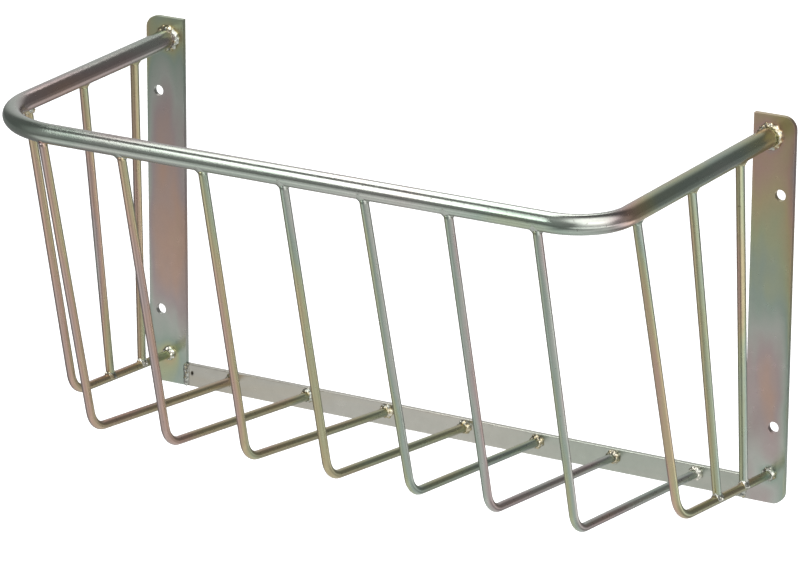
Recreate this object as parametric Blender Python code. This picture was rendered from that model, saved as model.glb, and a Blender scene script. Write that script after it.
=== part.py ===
"""Wall hay rack: a welded basket of bent round bars under a bent tube rail, on two wall plates.

X runs along the wall, Y points into it and Z is up. The backs of the plates and of the bottom bar
lie on Y = 0. The finished rack's origin is the middle of the bottom bar's back face. The functions
below count Z from the plates' lower ends, and the empty that carries every piece makes up the
difference. All sizes are in metres.
"""
import math

import bmesh
import bpy
from mathutils import Vector

# Wall plates: upright flat bars, 40 x 5
PLATE_HEIGHT = 0.360
PLATE_WIDTH = 0.040
PLATE_THICKNESS = 0.005
PLATE_CORNER_RADIUS = 0.012
RACK_WIDTH = 0.668
BOLT_HOLE_DIAMETER = 0.0105
BOLT_HOLE_EDGE_DISTANCE = 0.0125
BOLT_HOLE_END_DISTANCE = 0.072

# Bottom bar: flat bar on edge, flush with the plates' lower ends and backs
BOTTOM_BAR_HEIGHT = 0.022
BOTTOM_BAR_THICKNESS = 0.005

# Top rail: round tube bent to a U, its open ends on the plates' front faces
RAIL_DIAMETER = 0.018
RAIL_WALL = 0.0015
RAIL_DROP = 0.0195
RAIL_AXIS_DEPTH = 0.3185
RAIL_WALL_INSET = 0.0235
RAIL_TOE_IN = 0.0033
RAIL_BEND_RADIUS = {"left": 0.075, "right": 0.048}

# Front bars: round bar bent to an L, from under the rail's front down, then back to the bottom bar
BAR_DIAMETER = 0.008
BAR_COUNT = 7
BAR_ROW_INSET = 0.0880
BAR_ROW_CENTRE = 0.0045
BAR_BEND_RADIUS = 0.026
FRONT_TOP_OVERHANG = 0.0040
FRONT_BEND_DEPTH = 0.2450
FRONT_BEND_HEIGHT = 0.0425
FRONT_FOOT_HEIGHT = 0.0138
# How far each front bar is off the even row, from the left: its top, bend and foot sideways,
# and its bend upward
BAR_TOP_SHIFTS = (0.0015, 0.0010, 0.0015, 0.0005, -0.0030, -0.0035, -0.0015)
BAR_BEND_SHIFTS = (-0.0005, -0.0030, -0.0020, 0.0005, 0.0020, -0.0020, 0.0000)
BAR_FOOT_SHIFTS = (-0.0015, 0.0000, 0.0030, 0.0040, -0.0025, -0.0060, -0.0045)
BAR_BEND_LIFTS = (0.0000, 0.0000, 0.0020, 0.0000, 0.0010, 0.0000, -0.0020)

# End bars: bent like the front bars, from under the rail's sides to the plates' front faces
END_TOP_DEPTH = {"left": 0.2440, "right": 0.2575}
END_BEND_DEPTH = {"left": 0.1690, "right": 0.1850}
END_BEND_HEIGHT = {"left": 0.0410, "right": 0.0450}
END_BEND_RADIUS = {"left": 0.026, "right": 0.032}
END_FOOT_HEIGHT = {"left": 0.0285, "right": 0.0270}
END_RUN_INSET = {"left": 0.0210, "right": 0.0155}

# Side bars: straight round bars from the rail's sides down to the end bars' floor runs
SIDE_TOP_DEPTH = {
    "left": {"front": 0.1520, "rear": 0.0640},
    "right": {"front": 0.1565, "rear": 0.0640},
}
SIDE_FOOT_DEPTH = {
    "left": {"front": 0.1070, "rear": 0.0530},
    "right": {"front": 0.1085, "rear": 0.0560},
}

# Weld beads
BEAD_REACH = 0.0034
BEAD_LENGTH = 0.0062
BEAD_SHIFT = 0.0010
RAIL_BEAD_REACH = 0.0040
RAIL_BEAD_LENGTH = 0.0055
SEAM_BEAD_WIDTH = 0.0070
SEAM_BEAD_RISE = 0.0018

# Fits
WELD_GAP = 0.0003
CUT_OVERRUN = 0.004
WALL_CUTTER_DEPTH = 0.012

# Fineness of the round forms
BAR_SIDES = 12
RAIL_SIDES = 24
BAR_BEND_STEPS = 8
RAIL_BEND_STEPS = 12
HOLE_SIDES = 32
BEAD_SIDES = 14
BEAD_RINGS = 8
SEAM_BEAD_SIDES = 16
SAME_POINT_DISTANCE = 1e-6
SHARP_EDGE_DEGREES = 40

# Zinc plating of each kind of piece: its colour and its roughness
FINISHES = {
    "rail": ((0.52, 0.53, 0.46), 0.24),
    "plate": ((0.46, 0.43, 0.38), 0.38),
    "bar": ((0.52, 0.49, 0.38), 0.34),
    "weld": ((0.58, 0.53, 0.38), 0.42),
}

# Places that follow from the sizes above
SIDES = {"left": -1, "right": 1}
BAR_RADIUS = BAR_DIAMETER / 2
RAIL_RADIUS = RAIL_DIAMETER / 2
HALF_WIDTH = RACK_WIDTH / 2
PLATE_INNER_X = HALF_WIDTH - PLATE_WIDTH
PLATE_CENTRE_X = HALF_WIDTH - PLATE_WIDTH / 2
BOLT_HOLE_HEIGHTS = (BOLT_HOLE_END_DISTANCE, PLATE_HEIGHT - BOLT_HOLE_END_DISTANCE)
RAIL_AXIS_HEIGHT = PLATE_HEIGHT - RAIL_DROP
FRONT_TOP_DEPTH = RAIL_AXIS_DEPTH + FRONT_TOP_OVERHANG
BAR_PITCH = (RACK_WIDTH - 2 * BAR_ROW_INSET) / (BAR_COUNT - 1)
FIRST_BAR_X = BAR_ROW_CENTRE + BAR_ROW_INSET - HALF_WIDTH
PLATE_FRONT_Y = -PLATE_THICKNESS
BAR_FRONT_Y = -BOTTOM_BAR_THICKNESS


def clear_scene():
    """Remove every object that the scene holds."""
    for obj in list(bpy.data.objects):
        bpy.data.objects.remove(obj, do_unlink=True)


def new_collection(name):
    """Make a collection in the scene."""
    collection = bpy.data.collections.new(name)
    bpy.context.scene.collection.children.link(collection)
    return collection


def zinc(name, colour, roughness):
    """Passivated zinc plating, as a Principled material."""
    mat = bpy.data.materials.new(name)
    mat.use_nodes = True
    shader = mat.node_tree.nodes["Principled BSDF"]
    shader.inputs["Base Color"].default_value = (*colour, 1.0)
    shader.inputs["Roughness"].default_value = roughness
    shader.inputs["Metallic"].default_value = 1.0
    return mat


def shade_round(mesh):
    """Smooth shading, with the steep edges kept sharp."""
    mesh.shade_smooth()
    mesh.set_sharp_from_angle(angle=math.radians(SHARP_EDGE_DEGREES))


def place_mesh(name, mesh, collection, mat=None, location=(0, 0, 0)):
    """Put a mesh into a collection as a named object."""
    obj = bpy.data.objects.new(name, mesh)
    obj.location = location
    if mat:
        mesh.materials.append(mat)
    collection.objects.link(obj)
    return obj


def mark_cutter(obj):
    """Show a cutter as a wire, and leave it out of renders."""
    obj.hide_render = True
    obj.display_type = "WIRE"
    return obj


def curve_to_mesh(curve_obj, name, collection, mat=None):
    """Turn a curve object into a mesh object of one closed surface, in the same place."""
    depsgraph = bpy.context.evaluated_depsgraph_get()
    mesh = bpy.data.meshes.new_from_object(curve_obj.evaluated_get(depsgraph))
    mesh.name = name
    work = bmesh.new()
    work.from_mesh(mesh)
    bmesh.ops.remove_doubles(work, verts=work.verts, dist=SAME_POINT_DISTANCE)
    bmesh.ops.recalc_face_normals(work, faces=work.faces)
    work.to_mesh(mesh)
    work.free()
    obj = bpy.data.objects.new(name, mesh)
    obj.matrix_world = curve_obj.matrix_world
    mesh.materials.clear()
    if mat:
        mesh.materials.append(mat)
    collection.objects.link(obj)
    bpy.data.objects.remove(curve_obj, do_unlink=True)
    return obj


def round_bar(name, points, radius, sides, collection, mat=None):
    """Sweep a circle along a path: a solid round bar with closed ends."""
    curve = bpy.data.curves.new(name, "CURVE")
    curve.dimensions = "3D"
    curve.bevel_depth = radius
    curve.bevel_resolution = (sides - 4) // 2
    curve.use_fill_caps = True
    spline = curve.splines.new("POLY")
    spline.points.add(len(points) - 1)
    for spline_point, point in zip(spline.points, points):
        spline_point.co = (*point, 1.0)
    curve_obj = bpy.data.objects.new(name + "_curve", curve)
    collection.objects.link(curve_obj)
    bpy.context.view_layer.update()
    obj = curve_to_mesh(curve_obj, name, collection, mat)
    shade_round(obj.data)
    return obj


def bend(before, vertex, after, radius, steps):
    """The points of the arc that rounds a vertex between two straight runs."""
    back = (before - vertex).normalized()
    ahead = (after - vertex).normalized()
    half_angle = back.angle(ahead) / 2
    tangent = radius / math.tan(half_angle)
    centre = vertex + (back + ahead).normalized() * (radius / math.sin(half_angle))
    start = vertex + back * tangent - centre
    end = vertex + ahead * tangent - centre
    turn = start.angle(end)
    points = []
    for step in range(steps + 1):
        share = step / steps
        weight_start = math.sin((1 - share) * turn) / math.sin(turn)
        weight_end = math.sin(share * turn) / math.sin(turn)
        points.append(centre + start * weight_start + end * weight_end)
    return points


def extended(start, end, overrun):
    """A point that lies past the end of a straight run by an overrun."""
    return end + (end - start).normalized() * overrun


def cut(obj, cutter):
    """Take a cutter's space out of an object."""
    modifier = obj.modifiers.new("cut_" + cutter.name, "BOOLEAN")
    modifier.operation = "DIFFERENCE"
    modifier.solver = "EXACT"
    modifier.object = cutter


def box(name, low, high, collection, mat=None):
    """A box between two opposite corners."""
    low, high = Vector(low), Vector(high)
    work = bmesh.new()
    bmesh.ops.create_cube(work, size=1.0)
    bmesh.ops.scale(work, vec=high - low, verts=work.verts)
    mesh = bpy.data.meshes.new(name)
    work.to_mesh(mesh)
    work.free()
    return place_mesh(name, mesh, collection, mat, (low + high) / 2)


def ellipsoid(name, centre, along, reach, length, collection, mat):
    """A rounded lump of weld metal, longer or shorter along one direction."""
    work = bmesh.new()
    bmesh.ops.create_uvsphere(work, u_segments=BEAD_SIDES, v_segments=BEAD_RINGS, radius=1.0)
    bmesh.ops.scale(work, vec=(reach, reach, length), verts=work.verts)
    mesh = bpy.data.meshes.new(name)
    work.to_mesh(mesh)
    work.free()
    obj = place_mesh(name, mesh, collection, mat, centre)
    obj.rotation_mode = "QUATERNION"
    obj.rotation_quaternion = Vector(along).to_track_quat("Z", "X")
    mesh.shade_smooth()
    return obj


def on_rail(side, depth):
    """The point of the rail's side axis at a depth from the wall: the sides toe in toward the front."""
    offset = HALF_WIDTH - RAIL_WALL_INSET - RAIL_TOE_IN * depth / RAIL_AXIS_DEPTH
    return Vector((SIDES[side] * offset, -depth, RAIL_AXIS_HEIGHT))


def rail_path(overrun):
    """The rail's axis: from the left plate forward, round both bends and back to the right plate."""
    wall_depth = PLATE_THICKNESS - overrun
    left_wall, right_wall = on_rail("left", wall_depth), on_rail("right", wall_depth)
    left_corner, right_corner = on_rail("left", RAIL_AXIS_DEPTH), on_rail("right", RAIL_AXIS_DEPTH)
    left = bend(left_wall, left_corner, right_corner, RAIL_BEND_RADIUS["left"], RAIL_BEND_STEPS)
    right = bend(left_corner, right_corner, right_wall, RAIL_BEND_RADIUS["right"], RAIL_BEND_STEPS)
    return [left_wall, *left, *right, right_wall]


def make_rail(wall_space, parts, cutters, mat):
    """The tube, and the space round it that the bars and the beads stop at."""
    past_bore = rail_path(2 * CUT_OVERRUN)
    path = rail_path(CUT_OVERRUN)
    bore = round_bar("rail_bore", past_bore, RAIL_RADIUS - RAIL_WALL, RAIL_SIDES, cutters)
    outside = round_bar("rail_space", path, RAIL_RADIUS + WELD_GAP, RAIL_SIDES, cutters)
    rail = round_bar("top_rail", path, RAIL_RADIUS, RAIL_SIDES, parts, mat)
    cut(rail, mark_cutter(bore))
    cut(rail, wall_space)
    return mark_cutter(outside)


def plate_outline(sign):
    """A plate's outline about its middle: outer corners round, inner corners square."""
    half_width, half_height = PLATE_WIDTH / 2, PLATE_HEIGHT / 2
    inner, outer = -sign * half_width, sign * half_width
    outline = [Vector((inner, -half_height, 0)), Vector((inner, half_height, 0))]
    corners = ((inner, half_height), (outer, half_height), (outer, -half_height), (inner, -half_height))
    corners = [Vector((x, y, 0)) for x, y in corners]
    for before, vertex, after in (corners[0:3], corners[1:4]):
        outline += bend(before, vertex, after, PLATE_CORNER_RADIUS, BAR_BEND_STEPS)
    return outline


def hole_outline(x, y):
    """A bolt hole's circle."""
    radius = BOLT_HOLE_DIAMETER / 2
    angles = [2 * math.pi * i / HOLE_SIDES for i in range(HOLE_SIDES)]
    return [Vector((x + radius * math.cos(a), y + radius * math.sin(a), 0)) for a in angles]


def make_plate(side, parts, mat):
    """An upright wall plate with its two bolt holes."""
    sign = SIDES[side]
    hole_x = sign * (PLATE_WIDTH / 2 - BOLT_HOLE_EDGE_DISTANCE)
    outlines = [plate_outline(sign)]
    outlines += [hole_outline(hole_x, z - PLATE_HEIGHT / 2) for z in BOLT_HOLE_HEIGHTS]
    name = side + "_plate"
    curve = bpy.data.curves.new(name, "CURVE")
    curve.dimensions = "2D"
    curve.fill_mode = "BOTH"
    curve.extrude = PLATE_THICKNESS / 2
    for outline in outlines:
        spline = curve.splines.new("POLY")
        spline.points.add(len(outline) - 1)
        spline.use_cyclic_u = True
        for spline_point, point in zip(spline.points, outline):
            spline_point.co = (*point, 1.0)
    curve_obj = bpy.data.objects.new(name + "_curve", curve)
    curve_obj.location = (sign * PLATE_CENTRE_X, -PLATE_THICKNESS / 2, PLATE_HEIGHT / 2)
    curve_obj.rotation_euler = (math.radians(90), 0, 0)
    parts.objects.link(curve_obj)
    bpy.context.view_layer.update()
    return curve_to_mesh(curve_obj, name, parts, mat)


def make_bottom_bar(parts, mat):
    """The flat bar between the plates' inner edges."""
    half = PLATE_INNER_X - WELD_GAP
    low = (-half, BAR_FRONT_Y, 0)
    high = (half, 0, BOTTOM_BAR_HEIGHT)
    return box("bottom_bar", low, high, parts, mat)


def bent_bar(name, corners, radius, spaces, parts, cutters, mat):
    """A round bar bent to an L, cut square to what it is welded on, and its own space for the beads."""
    top, vertex, foot = corners
    foot_end = extended(vertex, foot, CUT_OVERRUN)
    path = [top, *bend(top, vertex, foot, radius, BAR_BEND_STEPS), foot_end]
    bar = round_bar(name, path, BAR_RADIUS, BAR_SIDES, parts, mat)
    for space in spaces:
        cut(bar, space)
    return mark_cutter(
        round_bar(name + "_space", path, BAR_RADIUS + WELD_GAP, BAR_SIDES, cutters)
    )


def bead(name, centre, along, spaces, parts, mat):
    """A weld bead round the end of a bar, hollowed by all that it is welded to."""
    reach = BAR_RADIUS + BEAD_REACH
    lump = ellipsoid(name, centre, along, reach, BEAD_LENGTH, parts, mat)
    for space in spaces:
        cut(lump, space)
    return lump


def toward(start, end, distance):
    """The point at a distance from the start of a straight run."""
    return start + (end - start).normalized() * distance


def make_front_bars(rail_space, wall_space, parts, cutters, mats):
    """The seven bars of the basket's front and floor, each with a bead at its top and its foot."""
    shifts = zip(BAR_TOP_SHIFTS, BAR_BEND_SHIFTS, BAR_FOOT_SHIFTS, BAR_BEND_LIFTS)
    for index, (top_shift, bend_shift, foot_shift, bend_lift) in enumerate(shifts):
        x = FIRST_BAR_X + BAR_PITCH * index
        number = index + 1
        top = Vector((x + top_shift, -FRONT_TOP_DEPTH, RAIL_AXIS_HEIGHT))
        vertex = Vector((x + bend_shift, -FRONT_BEND_DEPTH, FRONT_BEND_HEIGHT + bend_lift))
        foot = Vector((x + foot_shift, BAR_FRONT_Y, FRONT_FOOT_HEIGHT))
        name = f"front_bar_{number}"
        corners, spaces = (top, vertex, foot), (rail_space, wall_space)
        own_space = bent_bar(name, corners, BAR_BEND_RADIUS, spaces, parts, cutters, mats["bar"])
        top_centre = toward(top, vertex, RAIL_RADIUS) + Vector((-BEAD_SHIFT, 0, 0))
        along = top - vertex
        bead(f"weld_front_top_{number}", top_centre, along, (rail_space, own_space), parts, mats["weld"])
        along = vertex - foot
        bead(f"weld_front_foot_{number}", foot, along, (wall_space, own_space), parts, mats["weld"])


def end_bar_points(side):
    """The top, bend and foot of an end bar."""
    run_x = SIDES[side] * (HALF_WIDTH - END_RUN_INSET[side])
    top = on_rail(side, END_TOP_DEPTH[side])
    vertex = Vector((run_x, -END_BEND_DEPTH[side], END_BEND_HEIGHT[side]))
    foot = Vector((run_x, PLATE_FRONT_Y, END_FOOT_HEIGHT[side]))
    return top, vertex, foot


def make_end_bar(side, rail_space, wall_space, parts, cutters, mats):
    """The bent bar at one end of the basket, with its two beads."""
    corners = end_bar_points(side)
    top, vertex, foot = corners
    name = "end_bar_" + side
    spaces = (rail_space, wall_space)
    own_space = bent_bar(name, corners, END_BEND_RADIUS[side], spaces, parts, cutters, mats["bar"])
    top_centre = toward(top, vertex, RAIL_RADIUS) + Vector((0, BEAD_SHIFT, 0))
    bead("weld_end_top_" + side, top_centre, top - vertex, (rail_space, own_space), parts, mats["weld"])
    bead("weld_end_foot_" + side, foot, vertex - foot, (wall_space, own_space), parts, mats["weld"])
    return own_space


def make_side_bars(side, rail_space, end_space, parts, cutters, mats):
    """The two upright bars in one side of the basket, with their beads."""
    vertex, foot = end_bar_points(side)[1:]
    for place, top_depth in SIDE_TOP_DEPTH[side].items():
        top = on_rail(side, top_depth)
        share = (-SIDE_FOOT_DEPTH[side][place] - foot.y) / (vertex.y - foot.y)
        bottom = foot.lerp(vertex, share)
        name = f"side_bar_{side}_{place}"
        bar = round_bar(name, [top, bottom], BAR_RADIUS, BAR_SIDES, parts, mats["bar"])
        cut(bar, rail_space)
        cut(bar, end_space)
        own_space = mark_cutter(
            round_bar(name + "_space", [top, bottom], BAR_RADIUS + WELD_GAP, BAR_SIDES, cutters)
        )
        along = top - bottom
        top_centre = toward(top, bottom, RAIL_RADIUS) + Vector((0, BEAD_SHIFT, 0))
        foot_centre = toward(bottom, top, BAR_RADIUS)
        top_name = f"weld_side_top_{side}_{place}"
        foot_name = f"weld_side_foot_{side}_{place}"
        bead(top_name, top_centre, along, (rail_space, own_space), parts, mats["weld"])
        bead(foot_name, foot_centre, along, (end_space, own_space), parts, mats["weld"])


def make_rail_bead(side, rail_space, wall_space, parts, mat):
    """The ring of weld between the rail's end and its plate."""
    centre = on_rail(side, PLATE_THICKNESS)
    reach = RAIL_RADIUS + RAIL_BEAD_REACH
    lump = ellipsoid("weld_rail_" + side, centre, (0, 1, 0), reach, RAIL_BEAD_LENGTH, parts, mat)
    cut(lump, wall_space)
    cut(lump, rail_space)


def make_seam_bead(side, wall_space, parts, mat):
    """The upright bead over the seam between the bottom bar's end and its plate."""
    work = bmesh.new()
    bmesh.ops.create_cone(
        work,
        cap_ends=True,
        segments=SEAM_BEAD_SIDES,
        radius1=SEAM_BEAD_WIDTH / 2,
        radius2=SEAM_BEAD_WIDTH / 2,
        depth=BOTTOM_BAR_HEIGHT - BEAD_REACH,
    )
    thickness = (SEAM_BEAD_RISE + WELD_GAP) / (SEAM_BEAD_WIDTH / 2)
    bmesh.ops.scale(work, vec=(1, thickness, 1), verts=work.verts)
    mesh = bpy.data.meshes.new("weld_seam_" + side)
    work.to_mesh(mesh)
    work.free()
    centre = (SIDES[side] * PLATE_INNER_X, PLATE_FRONT_Y, BOTTOM_BAR_HEIGHT / 2)
    seam = place_mesh("weld_seam_" + side, mesh, parts, mat, centre)
    shade_round(mesh)
    cut(seam, wall_space)


def carry(objects, height):
    """Hang objects on an empty at a height, so that they move with it."""
    origin = bpy.data.objects.new("rack_origin", None)
    origin.location = (0, 0, height)
    bpy.context.scene.collection.objects.link(origin)
    for obj in objects:
        obj.parent = origin


def build():
    """Make the whole rack."""
    clear_scene()
    parts = new_collection("hay_rack")
    cutters = new_collection("cutters")
    mats = {kind: zinc(kind + "_zinc", *finish) for kind, finish in FINISHES.items()}
    wall_low = (-HALF_WIDTH, PLATE_FRONT_Y - WELD_GAP, -CUT_OVERRUN)
    wall_high = (HALF_WIDTH, WALL_CUTTER_DEPTH, PLATE_HEIGHT)
    wall_space = mark_cutter(box("wall_space", wall_low, wall_high, cutters))
    rail_space = make_rail(wall_space, parts, cutters, mats["rail"])
    make_bottom_bar(parts, mats["plate"])
    make_front_bars(rail_space, wall_space, parts, cutters, mats)
    for side in SIDES:
        make_plate(side, parts, mats["plate"])
        end_space = make_end_bar(side, rail_space, wall_space, parts, cutters, mats)
        make_side_bars(side, rail_space, end_space, parts, cutters, mats)
        make_rail_bead(side, rail_space, wall_space, parts, mats["weld"])
        make_seam_bead(side, wall_space, parts, mats["weld"])
    carry([*parts.objects, *cutters.objects], -BOTTOM_BAR_HEIGHT / 2)


build()
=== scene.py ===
# %% [markdown]
# A hay rack that is welded from round bar, flat bar and one bent tube, then zinc plated and passivated
# yellow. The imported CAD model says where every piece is. This script gives each piece a finer skin,
# worked out with numpy, and a finish made of shader nodes, and sets up the light and the camera of the
# picture.

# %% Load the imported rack
import bpy
import numpy as np
from mathutils import Matrix


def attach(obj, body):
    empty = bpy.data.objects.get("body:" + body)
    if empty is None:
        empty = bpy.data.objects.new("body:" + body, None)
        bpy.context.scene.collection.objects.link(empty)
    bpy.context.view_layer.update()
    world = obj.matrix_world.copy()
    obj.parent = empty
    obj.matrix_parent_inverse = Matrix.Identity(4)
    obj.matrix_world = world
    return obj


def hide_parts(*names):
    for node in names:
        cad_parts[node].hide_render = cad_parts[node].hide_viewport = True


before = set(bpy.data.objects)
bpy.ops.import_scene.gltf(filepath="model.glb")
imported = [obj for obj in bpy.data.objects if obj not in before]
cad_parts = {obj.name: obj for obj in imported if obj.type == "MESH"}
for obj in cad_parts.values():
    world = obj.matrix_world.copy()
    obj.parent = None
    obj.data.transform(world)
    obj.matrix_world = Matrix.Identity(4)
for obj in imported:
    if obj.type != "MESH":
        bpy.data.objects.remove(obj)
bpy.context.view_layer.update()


# %% [markdown]
# The camera comes first, because every later choice is judged in its picture. It stands at the right
# front of the rack and looks down on it from about four metres away through a long lens. Its place was
# worked out by fitting the known corners and bar ends of the rack to where they are in the picture. Its
# three angles are in radians, and a matrix holds its three directions: right, up and backwards.

# %% Camera
PICTURE_WIDTH = 800
CAMERA_TURN = 0.51784
CAMERA_DIP = 0.3247
CAMERA_TILT = 0.00449
CAMERA_PLACE = (2.05869, -3.72484, 1.57002)
CAMERA_FOCUS_PIXELS = 4908.78
SENSOR_WIDTH = 36.0
FAR_CLIP = 50.0


def unit(vector):
    """A vector, or each vector of an array, made one unit long."""
    return vector / np.linalg.norm(vector, axis=-1, keepdims=True)


def camera_matrix(turn, dip, tilt, place):
    """The level right and forward directions, dipped, then tilted; a camera looks along minus Z."""
    right = np.array([np.cos(turn), np.sin(turn), 0])
    level = np.array([-np.sin(turn), np.cos(turn), 0])
    forward = level * np.cos(dip) - np.array([0, 0, np.sin(dip)])
    up = np.array([0, 0, np.cos(dip)]) + level * np.sin(dip)
    tilted_right = right * np.cos(tilt) + up * np.sin(tilt)
    tilted_up = up * np.cos(tilt) - right * np.sin(tilt)
    matrix = np.eye(4)
    matrix[:3, :4] = np.stack([tilted_right, tilted_up, -forward, np.array(place)], axis=1)
    return Matrix(matrix.tolist())


def add_object(name, data):
    """An object that shows the data, linked to the scene."""
    made = bpy.data.objects.new(name, data)
    bpy.context.scene.collection.objects.link(made)
    return made


lens = bpy.data.cameras.new("picture_lens")
lens.sensor_width = SENSOR_WIDTH
lens.lens = CAMERA_FOCUS_PIXELS * SENSOR_WIDTH / PICTURE_WIDTH
lens.clip_end = FAR_CLIP
camera = add_object("picture_camera", lens)
camera.matrix_world = camera_matrix(CAMERA_TURN, CAMERA_DIP, CAMERA_TILT, CAMERA_PLACE)
bpy.context.scene.camera = camera
print("lens in mm:", round(lens.lens, 1))

# %% [markdown]
# Shader nodes are easier to read as sums. This small class wraps an output socket, so that `1 - mask`
# adds the Math node that it stands for. `Graph.node` adds any other node: its settings are set first,
# because they decide which sockets it has, and then each socket gets a value or a link.


# %% Node helpers
class Wire:
    """An output socket that can be added, subtracted and multiplied."""

    def __init__(self, graph, socket):
        self.graph = graph
        self.socket = socket

    def math(self, operation, first, second):
        return self.graph.node("ShaderNodeMath", {"operation": operation}, {0: first, 1: second})

    def __add__(self, other):
        return self.math("ADD", self, other)

    def __sub__(self, other):
        return self.math("SUBTRACT", self, other)

    def __rsub__(self, other):
        return self.math("SUBTRACT", other, self)

    def __mul__(self, other):
        return self.math("MULTIPLY", self, other)

    def at_most(self, other):
        return self.math("MINIMUM", self, other)

    def at_least(self, other):
        return self.math("MAXIMUM", self, other)

    __radd__ = __add__
    __rmul__ = __mul__


class Graph:
    """A node tree being filled."""

    def __init__(self, tree):
        self.tree = tree
        self.tree.nodes.clear()

    def node(self, kind, settings=None, sockets=None, output=0):
        """Adds a node: its settings first, then the values or links of its sockets."""
        made = self.tree.nodes.new(kind)
        for setting, value in (settings or {}).items():
            if setting == "stops":
                self.set_stops(made.color_ramp, value)
            else:
                setattr(made, setting, value)
        for name, value in (sockets or {}).items():
            if isinstance(value, Wire):
                self.tree.links.new(value.socket, made.inputs[name])
            else:
                made.inputs[name].default_value = value
        return Wire(self, made.outputs[output])

    def set_stops(self, ramp, stops):
        """Fills a colour ramp with pairs of a place and a colour."""
        while len(ramp.elements) < len(stops):
            ramp.elements.new(0.5)
        for element, (place, colour) in zip(ramp.elements, stops):
            element.position = place
            element.color = (*colour, 1)

    def noise(self, vector, scale, detail, roughness, distortion=0.0):
        """Cloudy noise from 0 to 1 with its middle at 0.5."""
        sockets = {"Vector": vector, "Scale": scale, "Detail": detail, "Roughness": roughness,
                   "Distortion": distortion}
        return self.node("ShaderNodeTexNoise", None, sockets)

    def blend(self, share, low, high, how="MIX"):
        """A colour between two colours, or their product with how="MULTIPLY"."""
        settings = {"data_type": "RGBA", "blend_type": how}
        return self.node("ShaderNodeMix", settings, {0: share, 6: low, 7: high}, 2)

    def step(self, value, low, high):
        """0 below low, 1 above high, and a smooth rise between."""
        sockets = {"Value": value, "From Min": low, "From Max": high}
        return self.node("ShaderNodeMapRange", {"interpolation_type": "SMOOTHSTEP"}, sockets)


print("node helpers:", Wire.__name__, "and", Graph.__name__)

# %% [markdown]
# The room. A polished metal shows what is around it, so the room decides how this rack looks. Here it is
# a pale sweep under the rack, two narrow soft boxes and a dim room with a few bright patches. The sweep
# is a real floor, well below the rack, as the rack hangs on a wall, and it keeps the rack's soft shadow.
# A glow that only the camera meets lifts it to white without putting more light on the rack.
#
# Mirror rays don't meet the sweep as the lamps light it. They meet painted pools of light: a glow on the
# sweep that only mirror rays and rays through glass see, over a dim painted base. Each bar is a long narrow
# mirror that shows one strip of the floor, so a painted pool lies where the mirror rays of a few bars or of
# a plate land, and its brightness decides how light that metal looks: a painted reflection. The radii and
# places of the pools are in metres.

# %% Floor
FLOOR_HEIGHT = -0.60
FLOOR_HALF = 9.0
FLOOR_COLOUR = (0.8, 0.8, 0.8, 1)
WHITE = (1, 1, 1, 1)
CAMERA_GLOW = 0.62
# Painted pools of light, seen only in mirrors: a dim painted base glow, then each pool.
PAINTED_SWEEP_DIM = 0.28
PAINTED_POOLS = [
    {"centre": (-0.95, -1.75), "inner": 0.65, "outer": 1.25, "brightness": 0.54},
    {"centre": (-0.55, -0.9), "inner": 0.2, "outer": 0.8, "brightness": 0.48},
    {"centre": (0.5, -0.9), "inner": 0.2, "outer": 0.7, "brightness": 0.60},
    {"centre": (1.2, -0.4), "inner": 0.2, "outer": 0.8, "brightness": 0.60},
    {"centre": (1.5, 0.8), "inner": 0.3, "outer": 1.0, "brightness": 1.30},
    {"centre": (0.0, -0.1), "inner": 0.4, "outer": 0.85, "brightness": 0.60},
    {"centre": (0.1, 1.4), "inner": 0.3, "outer": 0.9, "brightness": 0.50},
    {"centre": (3.1, -2.5), "inner": 1.4, "outer": 2.5, "brightness": 1.50},
    {"centre": (3.2, 0.2), "inner": 0.8, "outer": 1.6, "brightness": 1.10},
]


def new_material(name):
    """A material and its empty node tree."""
    material = bpy.data.materials.new(name)
    material.use_nodes = True
    return material, Graph(material.node_tree)


def finish_off(graph, kind, shader):
    """Adds the tree's output node and joins the shader to it."""
    out = graph.tree.nodes.new(kind)
    graph.tree.links.new(shader.socket, out.inputs["Surface"])


def ray_kind(graph, kind):
    """1 for rays of that kind."""
    return graph.node("ShaderNodeLightPath", output=kind)


def painted_pool(graph, place, centre, inner, outer, brightness):
    """A painted round pool of light, a glow on the sweep: full inside the inner radius, nothing outside the
    outer one.
    """
    sockets = {0: place, 1: (*centre, FLOOR_HEIGHT)}
    distance = graph.node("ShaderNodeVectorMath", {"operation": "DISTANCE"}, sockets, "Value")
    return (1 - graph.step(distance, inner, outer)) * brightness


def floor_finish():
    """A matt pale floor that glows for the camera; mirror rays and rays through glass meet painted pools of
    light.
    """
    material, graph = new_material("sweep_floor")
    matt = graph.node("ShaderNodeBsdfDiffuse", None, {"Color": FLOOR_COLOUR})
    to_camera = ray_kind(graph, "Is Camera Ray") * CAMERA_GLOW
    glow = graph.node("ShaderNodeEmission", None, {"Color": WHITE, "Strength": to_camera})
    seen = graph.node("ShaderNodeAddShader", None, {0: matt, 1: glow})
    place = graph.node("ShaderNodeTexCoord", output="Object")
    # Painted light: the pools glow for mirror rays only, and the lamps don't light them.
    painted_light = sum(painted_pool(graph, place, **values) for values in PAINTED_POOLS) + PAINTED_SWEEP_DIM
    painted_sweep = graph.node("ShaderNodeEmission", None, {"Color": WHITE, "Strength": painted_light})
    mirror = ray_kind(graph, "Is Glossy Ray").at_least(ray_kind(graph, "Is Transmission Ray"))
    both = graph.node("ShaderNodeMixShader", None, {0: mirror, 1: seen, 2: painted_sweep})
    finish_off(graph, "ShaderNodeOutputMaterial", both)
    return material


floor_mesh = bpy.data.meshes.new("sweep_floor")
square = np.array([[-1, -1, 0], [1, -1, 0], [1, 1, 0], [-1, 1, 0]])
floor_corners = FLOOR_HALF * square + [0, 0, FLOOR_HEIGHT]
floor_mesh.from_pydata(floor_corners.tolist(), [], [(0, 1, 2, 3)])
floor_mesh.materials.append(floor_finish())
floor = add_object("sweep_floor", floor_mesh)
print("floor at", FLOOR_HEIGHT, "m with", len(PAINTED_POOLS), "pools of light")

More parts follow.
